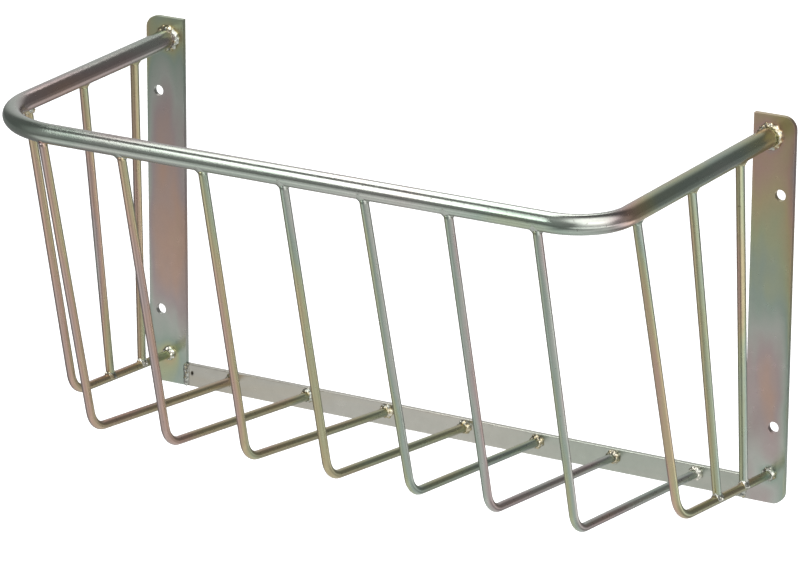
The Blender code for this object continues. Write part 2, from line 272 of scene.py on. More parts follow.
# %% [markdown]
# The world is the room round the sweep. For the camera it is white, like the sweep. For all other rays it
# is dim, with round patches: a high window and a lower one at the right front, a pale wall behind the
# left, and faint ones overhead and on every other side, without which the metal would turn black there.
# Turn, rise and the two radii of a patch are angles in degrees: a patch ends where the angle to its
# middle, read from a dot product, gets too big.

# %% World
ROOM_DIM = 0.13
ROOM_PATCHES = [
    {"turn": 66, "rise": 50, "inner": 14, "outer": 46, "brightness": 2.0},
    {"turn": 58, "rise": 8, "inner": 12, "outer": 38, "brightness": 1.1},
    {"turn": 100, "rise": 5, "inner": 12, "outer": 42, "brightness": 0.3},
    {"turn": -152, "rise": 20, "inner": 8, "outer": 38, "brightness": 0.5},
    {"turn": 10, "rise": 68, "inner": 12, "outer": 40, "brightness": 0.3},
    {"turn": -20, "rise": 15, "inner": 20, "outer": 60, "brightness": 0.24},
    {"turn": -85, "rise": 20, "inner": 15, "outer": 55, "brightness": 0.05},
    {"turn": 155, "rise": 15, "inner": 10, "outer": 38, "brightness": 0.07},
]


def heading(turn, rise):
    """The direction that is turned from straight in front toward the right, and then raised."""
    turn, rise = np.radians([turn, rise])
    return np.array([np.sin(turn) * np.cos(rise), -np.cos(turn) * np.cos(rise), np.sin(rise)])


def room_patch(graph, direction, turn, rise, inner, outer, brightness):
    """A round patch of the room: full inside the inner angle, nothing outside the outer one."""
    sockets = {0: direction, 1: heading(turn, rise).tolist()}
    cosine = graph.node("ShaderNodeVectorMath", {"operation": "DOT_PRODUCT"}, sockets, "Value")
    return graph.step(cosine, np.cos(np.radians(outer)), np.cos(np.radians(inner))) * brightness


world = bpy.data.worlds.new("studio_room")
world.use_nodes = True
bpy.context.scene.world = world
room = Graph(world.node_tree)
outward = room.node("ShaderNodeTexCoord", output="Generated")
glow = sum(room_patch(room, outward, **values) for values in ROOM_PATCHES) + ROOM_DIM
strength = glow.at_least(ray_kind(room, "Is Camera Ray"))
backdrop = room.node("ShaderNodeBackground", None, {"Color": WHITE, "Strength": strength})
finish_off(room, "ShaderNodeOutputWorld", backdrop)
print("room patches:", len(ROOM_PATCHES))

# %% [markdown]
# Two narrow soft boxes. One hangs over and behind the rack's left, one stands at its left front. The long
# round rail shows each of them as one bright line, and the gap between them as the thin darker line
# between. A box is narrow along the rail, so both lines fade out before the rail's bends. A lamp's power
# in watts is its brightness times pi times its area. The camera doesn't see them.

# %% Soft boxes
SOFT_BOXES = {
    "overhead_box": {
        "place": (-0.68, 0.55, 1.75), "aim": (-0.68, 0.35, 0.0), "upward": (0, 1.0, 0),
        "size": (0.80, 1.75), "brightness": 3.2,
    },
    "front_box": {
        "place": (-1.06, -2.0, 1.65), "aim": (0.0, -0.32, 0.33), "upward": (-0.45, 0, 0.9),
        "size": (0.50, 1.7), "brightness": 4.0,
    },
}


def add_box(name, place, aim, upward, size, brightness):
    """An area lamp that looks at a point with its long side upward; a lamp shines along minus Z."""
    lamp = bpy.data.lights.new(name, "AREA")
    lamp.shape = "RECTANGLE"
    lamp.size, lamp.size_y = size
    lamp.energy = brightness * np.pi * size[0] * size[1]
    box = add_object(name, lamp)
    back = unit(np.array(place) - np.array(aim))
    right = unit(np.cross(upward, back))
    up = np.cross(back, right)
    matrix = np.eye(4)
    matrix[:3] = np.stack([right, up, back, np.array(place)], axis=1)
    box.matrix_world = Matrix(matrix.tolist())
    box.visible_camera = False
    return lamp.energy


watts = [add_box(name, **box) for name, box in SOFT_BOXES.items()]
bpy.context.scene.view_settings.view_transform = "Standard"
print("soft boxes in W:", [round(value, 1) for value in watts])

# %% [markdown]
# The finish. Yellow passivation is a clear film less than a thousandth of a millimetre thick. Where its
# thickness drifts, its colour goes from steel to teal, olive, gold, rose, mauve and back, very faintly.
# So the colour is a ramp of those tints, and what it reads is the film's thickness. The flat bottom bar
# hardly changes, so its ramp is nearly grey, and the weld drops are brighter than all else.

# %% Tints
STEEL = (0.43, 0.45, 0.41)
TEAL = (0.33, 0.40, 0.34)
OLIVE = (0.40, 0.43, 0.28)
GOLD = (0.48, 0.41, 0.25)
ROSE = (0.50, 0.35, 0.28)
MAUVE = (0.42, 0.35, 0.34)
SILVER = (0.80, 0.78, 0.68)
# Soot dark for burnt specks, and also the colour of the painted shade in weld gaps.
SOOT_AND_SHADE = (0.07, 0.06, 0.045)
FILM_TINTS = [(0.0, STEEL), (0.08, TEAL), (0.16, OLIVE), (0.26, GOLD), (0.36, ROSE), (0.46, MAUVE),
              (0.54, STEEL), (0.62, TEAL), (0.70, OLIVE), (0.80, GOLD), (0.90, ROSE), (1.0, MAUVE)]
FLAT_TINTS = [(0.0, (0.50, 0.46, 0.37)), (0.35, (0.50, 0.49, 0.44)), (0.65, (0.475, 0.475, 0.42)),
              (1.0, (0.42, 0.45, 0.39))]
WELD_TINTS = [(0.0, SILVER), (0.35, STEEL), (0.5, GOLD), (0.65, SILVER), (1.0, OLIVE)]
print("tints in a ramp:", len(FILM_TINTS), len(FLAT_TINTS), len(WELD_TINTS))

# %% [markdown]
# Where does a shader get the film's thickness? Each piece carries it as a mark on its points, because
# each bar hung differently in the bath, and a cloudy noise adds the small drift. On a bar the noise
# should make long patches, so it reads a second mark, streak, that grows slowly along the bar. On a flat
# piece it reads the Object coordinates, shortened one way. Two more marks darken the plating: heat says
# how near a weld is, and pit gives the dark of a small pit and painted shade in the gaps between
# weld drops and on a seam bead between its drops.


# %% Marks and patterns
def read_mark(graph, name):
    """A mark that the piece carries on its points."""
    return graph.node("ShaderNodeAttribute", {"attribute_name": name}, output="Fac")


def lengthwise(graph):
    """The piece's own streak mark: two numbers round the bar and one, shortened, along it."""
    return graph.node("ShaderNodeAttribute", {"attribute_name": "streak"}, output="Vector")


def stretched(scale):
    """Object coordinates, shortened along the directions in which patches are long."""
    def coordinates(graph):
        place = graph.node("ShaderNodeTexCoord", output="Object")
        return graph.node("ShaderNodeMapping", None, {"Vector": place, "Scale": scale})
    return coordinates


def grey(value):
    """A grey as a colour socket takes it."""
    return (value, value, value, 1)


# %% [markdown]
# The five finishes differ in a few numbers only, so one function makes them all. Fine mottling, small
# dark specks and an uneven gloss keep the plating from looking like plastic. Each is a noise, and its
# scale says how many of its clouds fit in a metre. The specks are where a noise rises above an edge, and
# heat lifts it there.

# %% Zinc finishes
MOTTLE_SCALE = 420.0
SPECK_SCALE = 260.0
SPECK_EDGE = (0.62, 0.82)
SPECK_DARKNESS = 0.75
SPECKS_FROM_HEAT = 0.5
GLOSS_SCALE = 130.0
GLOSS_DRIFT = 0.14
SPECK_ROUGHNESS = 0.15
GRAIN_SCALE = 700.0
GRAIN_SHARE = 0.04
GRAIN_DEPTH = 0.0005


def zinc(name, coordinates, drift, rough, polish=1.0, calm=0.0, mottling=0.05, tints=FILM_TINTS):
    """A plated finish whose tint, gloss and fine grain drift over the surface.

    drift is a pair: how far the noise moves the film, and the noise's scale. polish lightens every tint,
    mottling is how far that goes up and down, and calm is how free of specks the piece is.
    """
    material, graph = new_material(name)
    place = graph.node("ShaderNodeTexCoord", output="Object")
    amount, scale = drift
    film = read_mark(graph, "film") + (graph.noise(coordinates(graph), scale, 2.0, 0.5, 0.2) - 0.5) * amount
    tint = graph.node("ShaderNodeValToRGB", {"stops": tints}, {"Fac": film})
    patches = graph.noise(place, MOTTLE_SCALE, 3.0, 0.6)
    mottle = graph.blend(patches, grey(polish - mottling), grey(polish + mottling))
    colour = graph.blend(1.0, tint, mottle, "MULTIPLY")
    burnt = graph.noise(place, SPECK_SCALE, 2.0, 0.6) + read_mark(graph, "heat") * SPECKS_FROM_HEAT - calm
    specks = graph.step(burnt, *SPECK_EDGE)
    # Painted shade: the pit mark blackens the gaps between weld drops and a seam bead off its drops, besides
    # the dark of a real pit.
    stain_and_shade = (specks * SPECK_DARKNESS + read_mark(graph, "pit")).at_most(1.0)
    stained_and_shaded = graph.blend(stain_and_shade, colour, (*SOOT_AND_SHADE, 1))
    cloud = graph.noise(place, GLOSS_SCALE, 3.0, 0.6)
    gloss = cloud * GLOSS_DRIFT + specks * SPECK_ROUGHNESS + (rough - GLOSS_DRIFT / 2)
    grain = graph.noise(place, GRAIN_SCALE, 2.0, 0.5)
    bump = {"Strength": GRAIN_SHARE, "Distance": GRAIN_DEPTH, "Height": grain}
    normal = graph.node("ShaderNodeBump", None, bump)
    sockets = {"Base Color": stained_and_shaded, "Metallic": 1.0, "Roughness": gloss, "Normal": normal}
    finish_off(graph, "ShaderNodeOutputMaterial", graph.node("ShaderNodeBsdfPrincipled", None, sockets))
    return material


rail_zinc = zinc("rail_zinc", lengthwise, (0.32, 22.0), rough=0.21, calm=0.02, mottling=0.08)
bar_zinc = zinc("bar_zinc", lengthwise, (0.44, 26.0), rough=0.29, calm=0.05)
plate_zinc = zinc("plate_zinc", stretched((1.0, 1.0, 0.3)), (0.40, 30.0), rough=0.30, polish=1.13, calm=0.16)
flat_zinc = zinc("flat_zinc", stretched((0.15, 1.0, 1.0)), (1.0, 60.0), rough=0.30, polish=1.05, calm=0.14,
                 tints=FLAT_TINTS)
weld_zinc = zinc("weld_zinc", stretched((1.0, 1.0, 1.0)), (0.9, 200.0), rough=0.22, mottling=0.10,
                 tints=WELD_TINTS)
finishes = [rail_zinc, bar_zinc, plate_zinc, flat_zinc, weld_zinc]
print("finishes:", [finish.name for finish in finishes])

# %% [markdown]
# Every skin below is a grid of points: rows along the piece, columns round it. One helper turns such a
# grid into faces, and one puts points and faces into a mesh. Whether the faces point outwards is
# measured, not guessed: the volume that a closed mesh encloses is a sum over its faces, and it comes out
# negative if they point inwards.

# %% Mesh helpers
PLATE_FOOT = -0.011


def spot(x, depth, height):
    """A point x along the wall, depth out from it and height above the plates' lower ends."""
    return np.array([x, -depth, height + PLATE_FOOT])


def grid_faces(rows, columns, rows_close=False):
    """Quads between neighbouring rows and columns; columns close into a ring, and rows do if rows_close."""
    row = np.arange(rows if rows_close else rows - 1)[:, None]
    column = np.arange(columns)[None, :]
    next_row = (row + 1) % rows
    next_column = (column + 1) % columns
    quads = [row * columns + column, next_row * columns + column,
             next_row * columns + next_column, row * columns + next_column]
    return np.stack(np.broadcast_arrays(*quads), axis=-1).reshape(-1, 4)


def enclosed_volume(points, faces):
    """A sixth of the sum of a . (b x c) over each face's triangles."""
    a, b, c = points[faces[:, 0]], points[faces[:, 1]], points[faces[:, 2]]
    total = np.einsum("ij,ij->i", a, np.cross(b, c)).sum()
    if faces.shape[1] == 4:
        total += enclosed_volume(points, faces[:, [0, 2, 3]]) * 6
    return total / 6


def flat_rows(values):
    """One row a point: the rings and columns of a grid run together."""
    return values.reshape(-1, 3) if values.ndim == 3 else values.ravel()


def put_marks(mesh, marks):
    """Stores each mark on the mesh's points: one number a point, or three."""
    for name, values in marks.items():
        kind, field = ("FLOAT_VECTOR", "vector") if values.ndim == 2 else ("FLOAT", "value")
        attribute = mesh.attributes.new(name, kind, "POINT")
        attribute.data.foreach_set(field, values.astype(np.float32).ravel())


def add_piece(name, points, face_sets, finish, node, marks):
    """Puts points, faces, marks and finish into a mesh, and hands it to the frame in the node's place."""
    mesh = bpy.data.meshes.new(name)
    mesh.from_pydata(points.tolist(), [], [face for faces in face_sets for face in faces.tolist()])
    mesh.polygons.foreach_set("use_smooth", np.ones(len(mesh.polygons), bool))
    put_marks(mesh, marks)
    mesh.materials.append(finish)
    made = add_object(name, mesh)
    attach(made, "root")
    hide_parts(node)
    return made


def add_solid(name, points, face_sets, finish, node, marks):
    """Adds a closed piece with its faces turned outwards."""
    if sum(enclosed_volume(points, faces) for faces in face_sets) < 0:
        face_sets = [faces[:, ::-1] for faces in face_sets]
    return add_piece(name, points, face_sets, finish, node, marks)


def capped(grid):
    """Points and faces of rings from pole to pole: the first and last rows shrink to one point each."""
    rows, columns = grid.shape[:2]
    rings = grid[1:-1].reshape(-1, 3)
    points = np.concatenate([rings, grid[0].mean(0)[None], grid[-1].mean(0)[None]])
    ring = np.arange(columns)
    after = np.roll(ring, -1)
    last = (rows - 3) * columns
    first_cap = np.stack([np.full(columns, len(rings)), ring, after], axis=1)
    last_cap = np.stack([np.full(columns, len(rings) + 1), last + after, last + ring], axis=1)
    return points, [grid_faces(rows - 2, columns), first_cap, last_cap]


print("plates' lower ends at", PLATE_FOOT, "m")

# %% [markdown]
# A bent bar or tube is a circle carried along a path. The path is straight runs joined by arcs, as a
# bending tool makes them. Because each path lies in one plane, the plane's normal and the path's
# direction fix the circle without any twist: a point is path + r (cos u side + sin u normal).


# %% Bent paths and rings
def straight(start, end, step):
    """Evenly spaced points from start to end."""
    count = max(2, int(round(np.linalg.norm(end - start) / step)) + 1)
    return np.linspace(start, end, count)


def bent_path(corners, radii, step, turn_steps):
    """Straight runs, with an arc of the given radius in each inner corner.

    From direction a to direction b the arc is centre + r (sin t a - cos t n), with n square to a towards b.
    """
    runs, here = [], corners[0]
    for before, corner, after, radius in zip(corners, corners[1:], corners[2:], radii):
        a = unit(corner - before)
        b = unit(after - corner)
        angle = np.arccos(a @ b)
        n = unit(b - (a @ b) * a)
        entry = corner - a * radius * np.tan(angle / 2)
        t = np.linspace(0, angle, turn_steps + 1)[:, None]
        arc = entry + n * radius + radius * (np.sin(t) * a - np.cos(t) * n)
        runs += [straight(here, entry, step)[:-1], arc[:-1]]
        here = arc[-1]
    return np.concatenate(runs + [straight(here, corners[-1], step)])


def rings_along(path, normal, radius, sides):
    """A ring round each path point: path + r (cos u side + sin u normal), side = direction x normal."""
    along = unit(np.gradient(path, axis=0))
    side = unit(np.cross(along, normal))
    up = np.cross(side, along)
    u = np.linspace(0, 2 * np.pi, sides, endpoint=False)[None, :, None]
    return path[:, None] + radius * (np.cos(u) * side[:, None] + np.sin(u) * up[:, None])


test_bend = bent_path(np.array([[0, 0, 0], [0.1, 0, 0], [0.1, 0.1, 0]]), [0.03], 0.01, 8)
print("a test bend has", len(test_bend), "points")

# %% [markdown]
# A rod's marks are worked out with its rings. The streak mark is a point on a circle and the length along
# the rod, both shortened, so that the noise draws long patches. The film goes through a few given
# thicknesses from end to end, and the side that faces left carries a little more of it.

# %% Marks of a rod
STREAK_ROUND = 0.010
STREAK_LENGTH = 0.35
STREAK_SPREAD = 5.0
LEFT = np.array([-0.88, -0.47, 0.0])
LEFT_FILM = 0.09
HEAT_REACH = 0.008


def lengths(path):
    """How far along the path each point is."""
    return np.concatenate([[0], np.cumsum(np.linalg.norm(np.diff(path, axis=0), axis=1))])


def rod_marks(path, rings, seed, film, heat):
    """The marks of a rod: streak, film and heat, one row a ring.

    film lists thicknesses at even steps from end to end. heat is how hot each end was welded, and it falls
    off as exp(-distance / reach).
    """
    length = lengths(path)
    outward = unit(rings - path[:, None])
    u = np.linspace(0, 2 * np.pi, rings.shape[1], endpoint=False)
    streak = np.stack(np.broadcast_arrays(
        STREAK_ROUND * np.cos(u), STREAK_ROUND * np.sin(u), STREAK_LENGTH * length[:, None]), axis=-1)
    share = length / length[-1]
    thickness = np.interp(share, np.linspace(0, 1, len(film)), film)[:, None] + LEFT_FILM * (outward @ LEFT)
    hot = heat[0] * np.exp(-length / HEAT_REACH) + heat[1] * np.exp(-(length[-1] - length) / HEAT_REACH)
    return {
        "streak": streak + np.random.default_rng(seed).uniform(0, STREAK_SPREAD, 3),
        "film": thickness,
        "heat": np.broadcast_to(hot[:, None], thickness.shape),
    }


print("heat reaches", HEAT_REACH, "m from a weld")

# %% [markdown]
# The top rail is one 18 mm tube, bent to a U. Its left bend is wider than its right one, and its sides
# toe in a little toward the front. The skin goes along the outside and back along the inside, so that the
# tube has a wall. The seeds of all pieces stand here too: each starts one piece's random numbers, so
# every run gives the same rack.

# %% Top rail
HALF_WIDTH = 0.334
RAIL_RADIUS = 0.009
RAIL_BORE_RADIUS = 0.0075
RAIL_HEIGHT = 0.3405
RAIL_DEPTH = 0.3185
RAIL_INSET = 0.0235
RAIL_TOE_IN = 0.0033
RAIL_BENDS = (0.075, 0.048)
PLATE_FACE = 0.005
SIGN = {"left": -1, "right": 1}
RAIL_STEP = 0.003
RAIL_BEND_STEPS = 28
RAIL_SIDES = 56
RAIL_HEAT = (0.6, 0.6)
RAIL_FILM = [(0.0, 0.53), (0.18, 0.52), (0.22, 0.54), (0.32, 0.58), (0.42, 0.52), (0.60, 0.50), (0.68, 0.60),
             (0.755, 0.60), (0.77, 0.46), (0.785, 0.38), (0.81, 0.22), (0.90, 0.14), (1.0, 0.22)]
RAIL_FILM_SAMPLES = 101
SEEDS = {"rail": 3, "front_bar": 10, "end_bar": 20, "side_bar": 30, "front_foot": 120, "end_top": 140,
         "end_foot": 150, "side_foot": 170, "rail_end": 180, "seam": 190, "end_fillet": 8, "side_fillet": 9}


def on_rail(side, depth):
    """The rail's axis at a depth from the wall: x = half the width - inset - toe in x share of the depth."""
    offset = HALF_WIDTH - RAIL_INSET - RAIL_TOE_IN * depth / RAIL_DEPTH
    return spot(SIGN[side] * offset, depth, RAIL_HEIGHT)


def make_rail():
    """The tube's skin: rings along the outside, then back along the bore, closed into one loop."""
    corners = [on_rail("left", PLATE_FACE), on_rail("left", RAIL_DEPTH),
               on_rail("right", RAIL_DEPTH), on_rail("right", PLATE_FACE)]
    path = bent_path(corners, RAIL_BENDS, RAIL_STEP, RAIL_BEND_STEPS)
    up = np.array([0, 0, 1.0])
    outer = rings_along(path, up, RAIL_RADIUS, RAIL_SIDES)
    bore = rings_along(path, up, RAIL_BORE_RADIUS, RAIL_SIDES)
    grid = np.concatenate([outer, bore[::-1]])
    film = np.interp(np.linspace(0, 1, RAIL_FILM_SAMPLES), *np.transpose(RAIL_FILM))
    marks = rod_marks(path, outer, SEEDS["rail"], film, RAIL_HEAT)
    marks = {name: flat_rows(np.concatenate([values, values[::-1]])) for name, values in marks.items()}
    faces = grid_faces(len(grid), RAIL_SIDES, rows_close=True)
    return add_solid("plated_rail", grid.reshape(-1, 3), [faces], rail_zinc, "top_rail", marks)


rail = make_rail()
print("rail points:", len(rail.data.vertices))

# %% [markdown]
# The bars are 8 mm round. Seven front bars lean out from their bend up to the rail and run back to the
# bottom bar, each a few millimetres off its even place, as hand welded work is. Two more are bent the
# same way at the ends, and four straight ones stand in the sides.

# %% Bars
BAR_RADIUS = 0.004
BAR_SIDES = 28
BAR_STEP = 0.004
BAR_BEND_STEPS = 14
BAR_PITCH = 0.082
FIRST_BAR_X = -0.2415
FRONT_TOP_DEPTH = 0.3225
FRONT_BEND_DEPTH = 0.2450
FRONT_BEND_HEIGHT = 0.0425
FRONT_FOOT_HEIGHT = 0.0138
BAR_BEND = 0.026
TOP_SHIFTS = (0.0015, 0.0010, 0.0015, 0.0005, -0.0030, -0.0035, -0.0015)
BEND_SHIFTS = (-0.0005, -0.0030, -0.0020, 0.0005, 0.0020, -0.0020, 0.0000)
FOOT_SHIFTS = (-0.0015, 0.0000, 0.0030, 0.0040, -0.0025, -0.0060, -0.0045)
BEND_LIFTS = (0.0000, 0.0000, 0.0020, 0.0000, 0.0010, 0.0000, -0.0020)
END_BARS = {
    "left": {"top": 0.2440, "bend": 0.1690, "height": 0.0410, "radius": 0.026, "foot": 0.0285,
             "inset": 0.0210},
    "right": {"top": 0.2575, "bend": 0.1850, "height": 0.0450, "radius": 0.032, "foot": 0.0270,
              "inset": 0.0155},
}
SIDE_BARS = {
    ("left", "front"): (0.1520, 0.1070), ("left", "rear"): (0.0640, 0.0530),
    ("right", "front"): (0.1565, 0.1085), ("right", "rear"): (0.0640, 0.0560),
}
RAIL_OVERLAP = 0.0015
FOOT_OVERLAP = 0.001


def front_corners(number):
    """Top, bend and foot of a front bar, numbered from 0 at the left."""
    x = FIRST_BAR_X + BAR_PITCH * number
    return [spot(x + TOP_SHIFTS[number], FRONT_TOP_DEPTH, RAIL_HEIGHT),
            spot(x + BEND_SHIFTS[number], FRONT_BEND_DEPTH, FRONT_BEND_HEIGHT + BEND_LIFTS[number]),
            spot(x + FOOT_SHIFTS[number], PLATE_FACE, FRONT_FOOT_HEIGHT)]


def end_corners(side):
    """Top, bend and foot of the bent bar at one end."""
    bar = END_BARS[side]
    x = SIGN[side] * (HALF_WIDTH - bar["inset"])
    return [on_rail(side, bar["top"]), spot(x, bar["bend"], bar["height"]), spot(x, PLATE_FACE, bar["foot"])]


def side_ends(side, which):
    """Top and foot of a straight side bar; its foot is on the end bar's floor run."""
    top_depth, foot_depth = SIDE_BARS[side, which]
    _, corner, foot = end_corners(side)
    share = (foot_depth - PLATE_FACE) / (-corner[1] - PLATE_FACE)
    return [on_rail(side, top_depth), foot + share * (corner - foot)]


def toward(start, end, distance):
    """The point at a distance from start on the way to end."""
    return start + unit(end - start) * distance


print("the first front bar's top is at x =", round(front_corners(0)[0][0], 4), "m")

# %% [markdown]
# The skins of the bars. Each list gives a bar's film thickness from its top to its foot: the bars at the
# left are rose and gold, the middle ones olive, and those at the right steel. The heat pairs are for top
# and foot, because a foot took a bigger weld. A bar ends inside the rail's wall, as its real end is
# melted into it.

# %% Bar skins
FRONT_FILM = [
    [0.37, 0.37, 0.33, 0.30], [0.25, 0.37, 0.40, 0.28, 0.26], [0.17, 0.28, 0.36, 0.28, 0.24],
    [0.08, 0.20, 0.24, 0.22], [0.07, 0.12, 0.13, 0.16], [0.58, 0.53, 0.55, 0.60], [0.56, 0.60, 0.58, 0.62],
]
END_FILM = {"left": [0.24, 0.36, 0.34, 0.26], "right": [0.10, 0.28, 0.34, 0.30, 0.20]}
SIDE_FILM = {
    ("left", "front"): [0.24, 0.44, 0.28], ("left", "rear"): [0.20, 0.32, 0.24],
    ("right", "front"): [0.20, 0.27, 0.23, 0.17], ("right", "rear"): [0.22, 0.32, 0.12, 0.06],
}
FRONT_HEAT, END_HEAT, SIDE_HEAT = (0.2, 0.9), (0.2, 0.8), (0.2, 0.5)


def make_bar(name, corners, radii, seed, film, heat):
    """A round bar along its path, its cut ends closed."""
    path = bent_path(corners, radii, BAR_STEP, BAR_BEND_STEPS)
    if len(corners) > 2:
        normal = unit(np.cross(corners[0] - corners[1], corners[2] - corners[1]))
    else:
        normal = np.array([1.0, 0, 0])
    body = rings_along(path, normal, BAR_RADIUS, BAR_SIDES)
    grid = np.concatenate([body[:1], body, body[-1:]])
    points, faces = capped(grid)
    marks = {}
    for mark, values in rod_marks(path, body, seed, film, heat).items():
        ends = np.stack([values[0].mean(0), values[-1].mean(0)])
        marks[mark] = np.concatenate([flat_rows(values), ends])
    return add_solid("plated_" + name, points, faces, bar_zinc, name, marks)


def from_rail(corners):
    """The same bar, starting inside the rail's wall instead of at its axis."""
    return [toward(corners[0], corners[1], RAIL_RADIUS - RAIL_OVERLAP), *corners[1:]]


for number in range(7):
    make_bar(f"front_bar_{number + 1}", from_rail(front_corners(number)), [BAR_BEND],
             SEEDS["front_bar"] + number, FRONT_FILM[number], FRONT_HEAT)
for side in SIGN:
    make_bar("end_bar_" + side, from_rail(end_corners(side)), [END_BARS[side]["radius"]],
             SEEDS["end_bar"] + SIGN[side], END_FILM[side], END_HEAT)
for index, (side, which) in enumerate(SIDE_BARS):
    top, foot = side_ends(side, which)
    ends = from_rail([top, toward(foot, top, BAR_RADIUS - FOOT_OVERLAP)])
    make_bar(f"side_bar_{side}_{which}", ends, [],
             SEEDS["side_bar"] + index, SIDE_FILM[side, which], SIDE_HEAT)

# %% [markdown]
# The plates are 40 mm flat bar with their two outer corners rounded and two bolt holes. A flat face with
# round holes in it is made of patches: round each hole a fan of points that go from the hole's edge
# straight out to a rectangle, and plain rows between. Where two patches meet they have the same points,
# which are then merged.

# %% Flat shape of a plate
PLATE_WIDTH = 0.040
PLATE_HEIGHT = 0.360
PLATE_THICKNESS = 0.005
CORNER_RADIUS = 0.012
HOLE_RADIUS = 0.00525
HOLE_FROM_EDGE = 0.0125
HOLE_HEIGHTS = (0.072, 0.288)
PATCH_HALF = 0.012
PATCH_ROWS = 12
PATCH_RINGS = 9
RING_CROWDING = 1.3
ACROSS = 20
CORNER_ROWS = 13
ROW_STEP = 0.004
MERGE_DIGITS = 6


def width_rows(heights, widths):
    """Rows of points across the plate: x = width x share, at each height."""
    share = np.linspace(0, 1, ACROSS + 1)
    x = widths[:, None] * share
    return np.stack([x, np.broadcast_to(heights[:, None], x.shape)], axis=-1)


def row_faces(rows, columns, start):
    """Quads of an open grid whose points begin at start."""
    row = np.arange(rows - 1)[:, None]
    column = np.arange(columns - 1)[None, :]
    base = start + row * columns + column
    return np.stack([base, base + 1, base + columns + 1, base + columns], axis=-1).reshape(-1, 4)


def hole_patch(centre_height):
    """Points from the hole's edge to the rectangle round it: edge + t (rectangle point - edge)."""
    low, high = centre_height - PATCH_HALF, centre_height + PATCH_HALF
    across = np.linspace(0, PLATE_WIDTH, ACROSS + 1)
    upward = np.linspace(low, high, PATCH_ROWS + 1)
    loop = np.concatenate([
        np.stack([across[:-1], np.full(ACROSS, low)], axis=1),
        np.stack([np.full(PATCH_ROWS, PLATE_WIDTH), upward[:-1]], axis=1),
        np.stack([across[:0:-1], np.full(ACROSS, high)], axis=1),
        np.stack([np.zeros(PATCH_ROWS), upward[:0:-1]], axis=1)])
    centre = np.array([PLATE_WIDTH - HOLE_FROM_EDGE, centre_height])
    edge = centre + HOLE_RADIUS * unit(loop - centre)
    t = (np.linspace(0, 1, PATCH_RINGS) ** RING_CROWDING)[:, None, None]
    return edge + t * (loop - edge)


def plate_sheet():
    """All patches of the plate's face, from its lower end up, as flat points and quads."""
    turn = np.linspace(0, np.pi / 2, CORNER_ROWS)
    rise = CORNER_RADIUS * (1 - np.cos(turn))
    narrow = PLATE_WIDTH - CORNER_RADIUS + CORNER_RADIUS * np.sin(turn)
    grids = [width_rows(rise, narrow)]
    levels = [CORNER_RADIUS]
    for centre in HOLE_HEIGHTS:
        levels += [centre - PATCH_HALF, centre + PATCH_HALF]
    levels.append(PLATE_HEIGHT - CORNER_RADIUS)
    for low, high in zip(levels[::2], levels[1::2]):
        heights = np.linspace(low, high, max(2, int((high - low) / ROW_STEP)))
        grids.append(width_rows(heights, np.full(len(heights), PLATE_WIDTH)))
    grids.append(width_rows(PLATE_HEIGHT - rise[::-1], narrow[::-1]))
    points, faces, start = [], [], 0
    for grid in grids:
        points.append(grid.reshape(-1, 2))
        faces.append(row_faces(*grid.shape[:2], start))
        start += len(points[-1])
    for fan in map(hole_patch, HOLE_HEIGHTS):
        points.append(fan.reshape(-1, 2))
        faces.append(grid_faces(*fan.shape[:2]) + start)
        start += len(points[-1])
    points = np.concatenate(points)
    places = np.round(points, MERGE_DIGITS)
    _, first, same = np.unique(places, axis=0, return_index=True, return_inverse=True)
    return points[first], same.ravel()[np.concatenate(faces)]


flat, flat_faces = plate_sheet()
print("points and quads of a plate's face:", len(flat), len(flat_faces))

# %% [markdown]
# The flat shape is stood up at the front face of each plate. Solidify gives it its 5 mm back to the wall,
# and a small Bevel its worn edges. The film is given at some heights, and there is more of it toward the
# outer edge and round the welds, where the heat mark also brings out the dark specks.

# %% Plates
EDGE_WEAR = 0.0005
EDGE_FILM = 0.15
EDGE_FILM_REACH = 0.005
FILM_HEIGHTS = [0.02, 0.05, 0.10, 0.14, 0.18, 0.22, 0.26, 0.31, 0.34]
PLATE_FILM = {
    "left": [0.60, 0.48, 0.38, 0.36, 0.43, 0.45, 0.48, 0.58, 0.68],
    "right": [0.51, 0.47, 0.45, 0.52, 0.58, 0.62, 0.72, 0.86, 0.80],
}
HALO_HEAT = 0.5
HALO_FILM = 0.25
HALO_REACH = 0.004
WELD_WIDTH = 0.003


def halo(side):
    """The heat round a plate's welds: the sum of exp(-distance from the weld's edge / reach)."""
    end_bar = END_BARS[side]
    welds = [(RAIL_INSET, RAIL_HEIGHT, RAIL_RADIUS), (end_bar["inset"], end_bar["foot"], BAR_RADIUS)]
    heat = np.zeros(len(flat))
    for inset, height, radius in welds:
        away = np.hypot(HALF_WIDTH - PLATE_WIDTH + flat[:, 0] - (HALF_WIDTH - inset), flat[:, 1] - height)
        heat += HALO_HEAT * np.exp(-np.maximum(away - (radius + WELD_WIDTH), 0) / HALO_REACH)
    return heat


